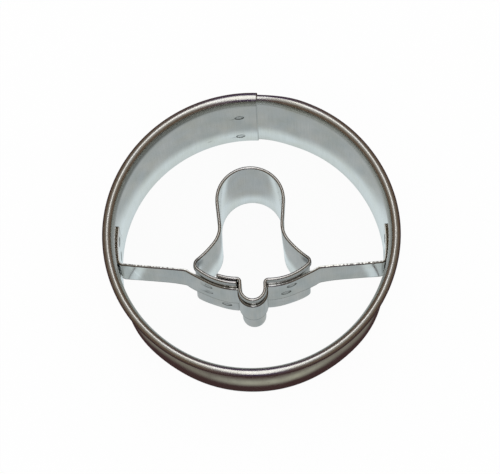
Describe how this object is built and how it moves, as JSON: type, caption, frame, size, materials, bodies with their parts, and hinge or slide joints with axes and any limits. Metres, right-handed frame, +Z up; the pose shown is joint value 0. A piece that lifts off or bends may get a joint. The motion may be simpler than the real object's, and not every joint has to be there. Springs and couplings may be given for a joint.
{
  "type": "linzer cookie cutter",
  "caption": "Round tinplate cookie cutter with a bell-shaped inner cutter, held by a bridge strap across the ring.",
  "frame": {"origin": "on the ring's axis, level with the cutting edges that rest on the dough", "axes": "+Z up along the ring's axis, towards the rolled bead; +Y towards the bell's crown, so the clapper points to -Y; +X to the right, with the two strap arms along X"},
  "size_m": [0.048, 0.048, 0.0186],
  "materials": {
    "ring_tinplate": "bright rolled tinplate with fine vertical drawing marks",
    "bell_tinplate": "bright rolled tinplate with fine drawing marks",
    "strap_tinplate": "bright tinplate with sheared, burred edges",
    "spot_weld": "dark, heat-tinted dimple with a lighter centre"
  },
  "bodies": {
    "root": {"ring_band": "ring_tinplate", "bell_band": "bell_tinplate", "bridge_strap": "strap_tinplate", "ring_lap_welds": "spot_weld", "bell_lap_weld": "spot_weld", "left_panel_welds": "spot_weld", "right_panel_welds": "spot_weld", "left_tab_welds": "spot_weld", "right_tab_welds": "spot_weld"}
  },
  "joints": []
}
